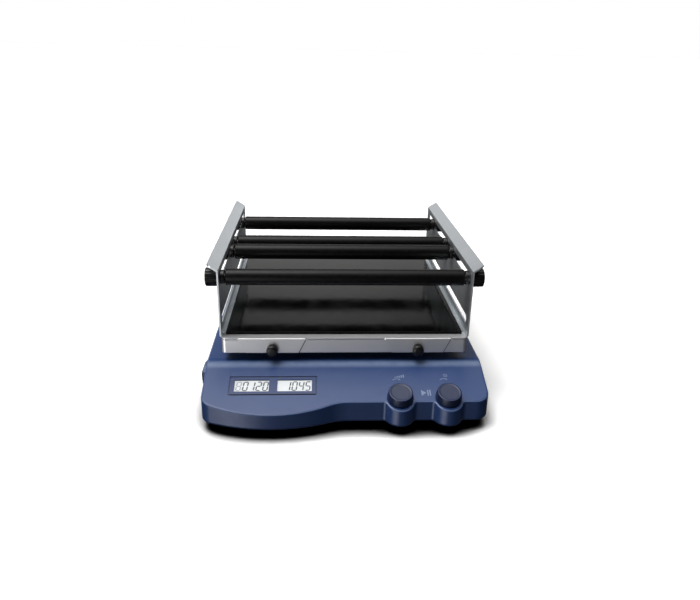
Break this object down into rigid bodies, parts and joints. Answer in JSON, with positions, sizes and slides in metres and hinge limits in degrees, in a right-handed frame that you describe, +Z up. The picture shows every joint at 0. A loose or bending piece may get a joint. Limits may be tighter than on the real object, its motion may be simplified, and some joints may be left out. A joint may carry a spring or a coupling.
{
  "type": "linear shaker",
  "caption": "Bench shaker whose flask platform slides left and right, with side plates and sliding clamping bars over a rubber mat, a display and two knobs.",
  "frame": {"origin": "on the bench, under the middle of the base; the power switch stands 6 mm proud of the left side, so the bounding box's middle lies 3 mm to the left", "axes": "+X to the right along the platform's stroke, +Y from the control panel to the back, +Z up"},
  "size_m": [0.3667, 0.4418, 0.1958],
  "materials": {
    "base_paint": "satin dark blue moulding",
    "bezel_blue": "blue",
    "lcd": "white backlit LCD",
    "knob_blue": "satin dark blue",
    "switch_black": "black",
    "rubber": "black",
    "mat_rubber": "glossy black",
    "sheet_black": "black powder coat",
    "platform_silver": "satin silver",
    "tray_silver": "satin silver",
    "plate_silver": "satin silver",
    "steel": "turned",
    "aluminium": "machined",
    "board": "circuit board",
    "black_plastic": "black",
    "belt": "black"
  },
  "bodies": {
    "base": {"base_housing": "base_paint", "bottom_plate": "sheet_black", "rubber_feet": "rubber", "base_screws": "steel", "display_bezel": "bezel_blue", "lcd_panels": "lcd", "display_board": "board", "encoders": "black_plastic", "switch_frame": "switch_black", "power_inlet": "black_plastic", "serial_port": "steel", "guide_rails": "steel", "rail_supports": "aluminium", "crank_bearing_housing": "aluminium", "drive_belt": "belt", "motor_mount": "sheet_black", "motor": "sheet_black", "power_supply": "board", "control_board": "board"},
    "platform": {"bearing_blocks": "aluminium", "linear_bearings": "steel", "carriage_plate": "aluminium", "drive_yoke": "steel", "platform_posts": "aluminium", "platform": "platform_silver", "platform_screws": "steel", "flask_tray": "tray_silver", "side_plate_right": "plate_silver", "side_plate_left": "plate_silver", "rubber_mat": "mat_rubber"},
    "crank": {"crank_shaft": "steel", "crank_pulley": "aluminium", "counterweight": "steel", "pin_roller": "steel"},
    "motor_rotor": {"motor_shaft": "steel", "motor_pulley": "aluminium"},
    "speed_shaft": {"speed_shaft": "steel"},
    "speed_knob": {"speed_knob": "knob_blue"},
    "time_shaft": {"time_shaft": "steel"},
    "time_knob": {"time_knob": "knob_blue"},
    "power_rocker": {"power_rocker": "switch_black"},
    "thumb_screw_left": {"thumb_screw_left": "black_plastic"},
    "thumb_screw_right": {"thumb_screw_right": "black_plastic"},
    "bar_1": {"bar_rod_1": "steel"},
    "sleeve_1": {"bar_sleeve_1": "rubber"},
    "clamp_1_left": {"clamp_knob_1_left": "black_plastic"},
    "clamp_1_right": {"clamp_knob_1_right": "black_plastic"},
    "bar_2": {"bar_rod_2": "steel"},
    "sleeve_2": {"bar_sleeve_2": "rubber"},
    "clamp_2_left": {"clamp_knob_2_left": "black_plastic"},
    "clamp_2_right": {"clamp_knob_2_right": "black_plastic"},
    "bar_3": {"bar_rod_3": "steel"},
    "sleeve_3": {"bar_sleeve_3": "rubber"},
    "clamp_3_left": {"clamp_knob_3_left": "black_plastic"},
    "clamp_3_right": {"clamp_knob_3_right": "black_plastic"},
    "bar_4": {"bar_rod_4": "steel"},
    "sleeve_4": {"bar_sleeve_4": "rubber"},
    "clamp_4_left": {"clamp_knob_4_left": "black_plastic"},
    "clamp_4_right": {"clamp_knob_4_right": "black_plastic"}
  },
  "joints": [
    {"name": "platform_slide", "type": "slide", "parent": "base", "child": "platform", "axis": [1, 0, 0], "range_m": [-0.005, 0.005]},
    {"name": "crank_spin", "type": "hinge", "parent": "base", "child": "crank", "pos_m": [0, 0.0435, 0.0335], "axis": [0, 0, 1], "continuous": true},
    {"name": "motor_spin", "type": "hinge", "parent": "base", "child": "motor_rotor", "pos_m": [-0.105, 0.0435, 0.0335], "axis": [0, 0, 1], "continuous": true},
    {"name": "speed_turn", "type": "hinge", "parent": "base", "child": "speed_shaft", "pos_m": [0.0664, -0.19583, 0.04335], "axis": [0, -0.3256, 0.9455], "continuous": true},
    {"name": "speed_push", "type": "slide", "parent": "speed_shaft", "child": "speed_knob", "axis": [0, 0.3256, -0.9455], "range_m": [0, 0.001], "stiffness_N_per_m": 800, "springref_m": -0.001},
    {"name": "time_turn", "type": "hinge", "parent": "base", "child": "time_shaft", "pos_m": [0.12725, -0.19583, 0.04335], "axis": [0, -0.3256, 0.9455], "continuous": true},
    {"name": "time_push", "type": "slide", "parent": "time_shaft", "child": "time_knob", "axis": [0, 0.3256, -0.9455], "range_m": [0, 0.001], "stiffness_N_per_m": 800, "springref_m": -0.001},
    {"name": "power_switch", "type": "hinge", "parent": "base", "child": "power_rocker", "pos_m": [-0.1804, -0.1315, 0.0465], "axis": [0, 0, 1], "range_deg": [0, 15]},
    {"name": "thumb_left_turn", "type": "hinge", "parent": "platform", "child": "thumb_screw_left", "pos_m": [-0.095, -0.1332, 0.0816], "axis": [0, -1, 0], "range_deg": [0, 360]},
    {"name": "thumb_right_turn", "type": "hinge", "parent": "platform", "child": "thumb_screw_right", "pos_m": [0.095, -0.1332, 0.0816], "axis": [0, -1, 0], "range_deg": [0, 360]},
    {"name": "bar_1_slide", "type": "slide", "parent": "platform", "child": "bar_1", "axis": [0, 1, 0], "range_m": [0, 0.041]},
    {"name": "sleeve_1_spin", "type": "hinge", "parent": "bar_1", "child": "sleeve_1", "pos_m": [0, -0.1109, 0.173], "axis": [1, 0, 0], "continuous": true},
    {"name": "clamp_1_left_turn", "type": "hinge", "parent": "bar_1", "child": "clamp_1_left", "pos_m": [-0.1628, -0.1109, 0.173], "axis": [-1, 0, 0], "range_deg": [0, 360]},
    {"name": "clamp_1_right_turn", "type": "hinge", "parent": "bar_1", "child": "clamp_1_right", "pos_m": [0.1628, -0.1109, 0.173], "axis": [1, 0, 0], "range_deg": [0, 360]},
    {"name": "bar_2_slide", "type": "slide", "parent": "platform", "child": "bar_2", "axis": [0, 1, 0], "range_m": [-0.039, 0.009]},
    {"name": "sleeve_2_spin", "type": "hinge", "parent": "bar_2", "child": "sleeve_2", "pos_m": [0, -0.0037, 0.173], "axis": [1, 0, 0], "continuous": true},
    {"name": "clamp_2_left_turn", "type": "hinge", "parent": "bar_2", "child": "clamp_2_left", "pos_m": [-0.1628, -0.0037, 0.173], "axis": [-1, 0, 0], "range_deg": [0, 360]},
    {"name": "clamp_2_right_turn", "type": "hinge", "parent": "bar_2", "child": "clamp_2_right", "pos_m": [0.1628, -0.0037, 0.173], "axis": [1, 0, 0], "range_deg": [0, 360]},
    {"name": "bar_3_slide", "type": "slide", "parent": "platform", "child": "bar_3", "axis": [0, 1, 0], "range_m": [-0.009, 0.04]},
    {"name": "sleeve_3_spin", "type": "hinge", "parent": "bar_3", "child": "sleeve_3", "pos_m": [0, 0.041, 0.173], "axis": [1, 0, 0], "continuous": true},
    {"name": "clamp_3_left_turn", "type": "hinge", "parent": "bar_3", "child": "clamp_3_left", "pos_m": [-0.1628, 0.041, 0.173], "axis": [-1, 0, 0], "range_deg": [0, 360]},
    {"name": "clamp_3_right_turn", "type": "hinge", "parent": "bar_3", "child": "clamp_3_right", "pos_m": [0.1628, 0.041, 0.173], "axis": [1, 0, 0], "range_deg": [0, 360]},
    {"name": "bar_4_slide", "type": "slide", "parent": "platform", "child": "bar_4", "axis": [0, 1, 0], "range_m": [-0.041, 0.044]},
    {"name": "sleeve_4_spin", "type": "hinge", "parent": "bar_4", "child": "sleeve_4", "pos_m": [0, 0.1518, 0.173], "axis": [1, 0, 0], "continuous": true},
    {"name": "clamp_4_left_turn", "type": "hinge", "parent": "bar_4", "child": "clamp_4_left", "pos_m": [-0.1628, 0.1518, 0.173], "axis": [-1, 0, 0], "range_deg": [0, 360]},
    {"name": "clamp_4_right_turn", "type": "hinge", "parent": "bar_4", "child": "clamp_4_right", "pos_m": [0.1628, 0.1518, 0.173], "axis": [1, 0, 0], "range_deg": [0, 360]}
  ],
  "couplings": [
    {"joint": "motor_spin", "follows": "crank_spin", "ratio": 3}
  ]
}
